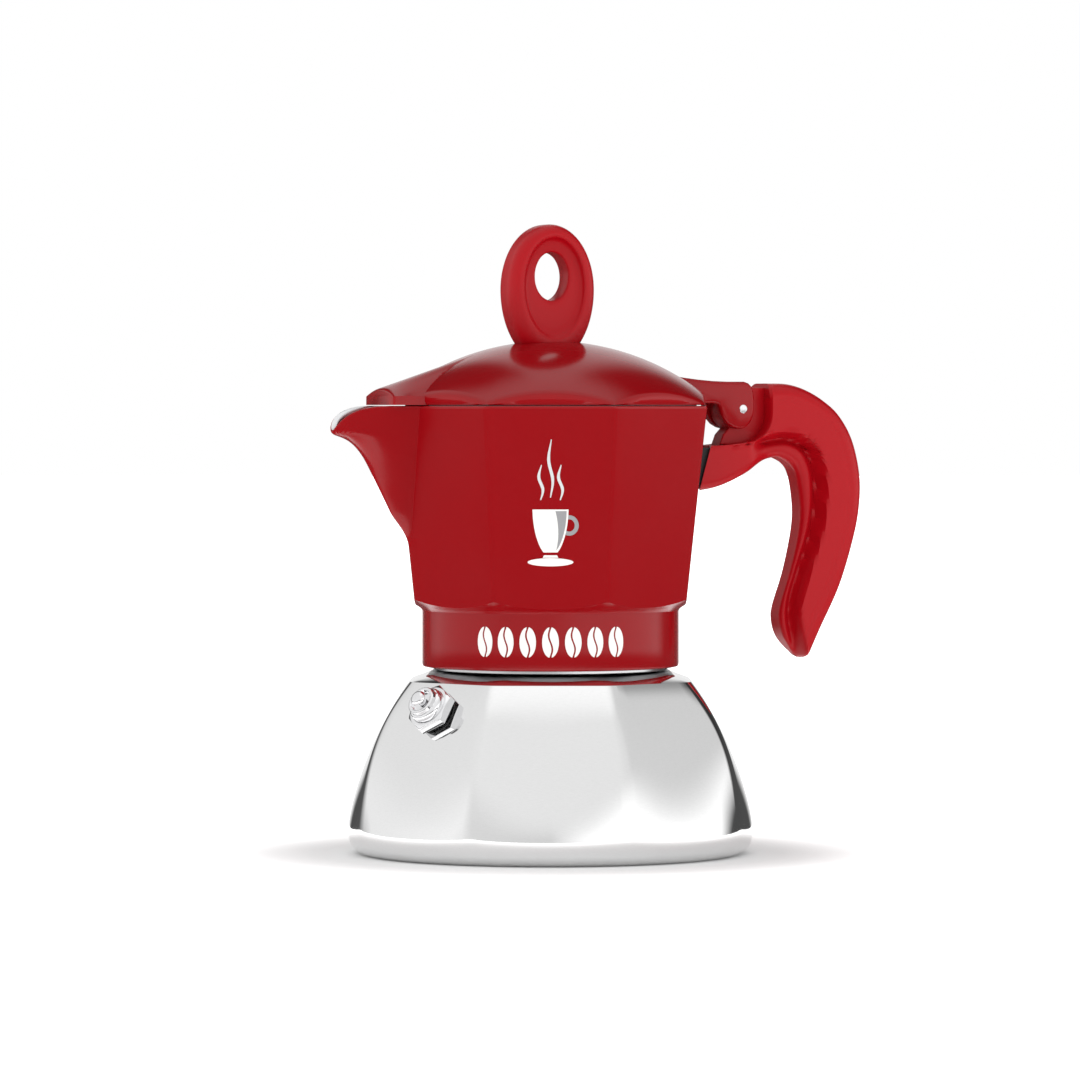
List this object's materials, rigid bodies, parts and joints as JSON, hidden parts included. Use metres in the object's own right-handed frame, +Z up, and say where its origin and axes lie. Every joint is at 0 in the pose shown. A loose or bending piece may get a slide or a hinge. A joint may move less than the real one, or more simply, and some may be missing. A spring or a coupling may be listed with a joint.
{
  "type": "moka pot",
  "caption": "Stovetop moka coffee pot: steel boiler with safety valve, screw-on octagonal collector with spout, hinged domed lid, ring knob and hooked handle.",
  "frame": {"origin": "centre of the boiler's flat underside", "axes": "+Z up along the axis of the pot, +X towards the handle, -X towards the spout; XZ is the plane of symmetry of lid, collector and handle"},
  "size_m": [0.1416, 0.1014, 0.1571],
  "materials": {
    "polished_steel": "mirror polished stainless steel",
    "bare_aluminium": "satin, as turned and cast",
    "valve_chrome": "bright plated",
    "nut_brass": "machined",
    "pin_steel": "bright turned steel",
    "pale_silicone": "smooth silicone",
    "black_rubber": "matt",
    "red_paint": "gloss baked enamel",
    "red_soft_touch": "satin soft-touch"
  },
  "bodies": {
    "boiler": {"boiler_jacket": "polished_steel", "boiler_liner": "bare_aluminium", "valve_washer": "black_rubber", "valve_body": "valve_chrome", "valve_nut": "nut_brass", "valve_spring": "pin_steel"},
    "valve_stem": {"valve_piston": "pin_steel", "valve_seal": "pale_silicone"},
    "funnel": {"funnel_cup": "bare_aluminium", "funnel_stem": "bare_aluminium", "funnel_screen": "bare_aluminium"},
    "gasket": {"gasket": "pale_silicone"},
    "filter": {"filter_plate": "bare_aluminium"},
    "collector": {"collector_body": "red_paint", "handle": "red_soft_touch", "handle_spacer": "black_rubber", "handle_screw": "pin_steel", "hinge_pin": "pin_steel"},
    "lid": {"lid": "red_paint", "knob": "red_soft_touch", "knob_screw": "pin_steel", "knob_washer": "pin_steel"}
  },
  "joints": [
    {"name": "valve_press", "type": "slide", "parent": "boiler", "child": "valve_stem", "axis": [-0.7748, -0.3209, 0.5446], "range_m": [0, 0.0015], "stiffness_N_per_m": 500, "springref_m": -0.003, "deforming": ["valve_spring"]},
    {"name": "funnel_lift", "type": "slide", "parent": "boiler", "child": "funnel", "axis": [0, 0, 1], "range_m": [0, 0.06]},
    {"name": "collector_lift", "type": "slide", "parent": "funnel", "child": "gasket", "axis": [0, 0, 1], "range_m": [0, 0.04]},
    {"name": "thread_rise", "type": "slide", "parent": "gasket", "child": "filter", "axis": [0, 0, 1], "range_m": [0, 0.006]},
    {"name": "collector_turn", "type": "hinge", "parent": "filter", "child": "collector", "pos_m": [0, 0, 0.0467], "axis": [0, 0, 1], "range_deg": [0, 720]},
    {"name": "lid_hinge", "type": "hinge", "parent": "collector", "child": "lid", "pos_m": [0.0502, 0, 0.111], "axis": [0, 1, 0], "range_deg": [0, 90]}
  ],
  "couplings": [
    {"joint": "thread_rise", "follows": "collector_turn", "m_per_rad": 0.00047746}
  ]
}
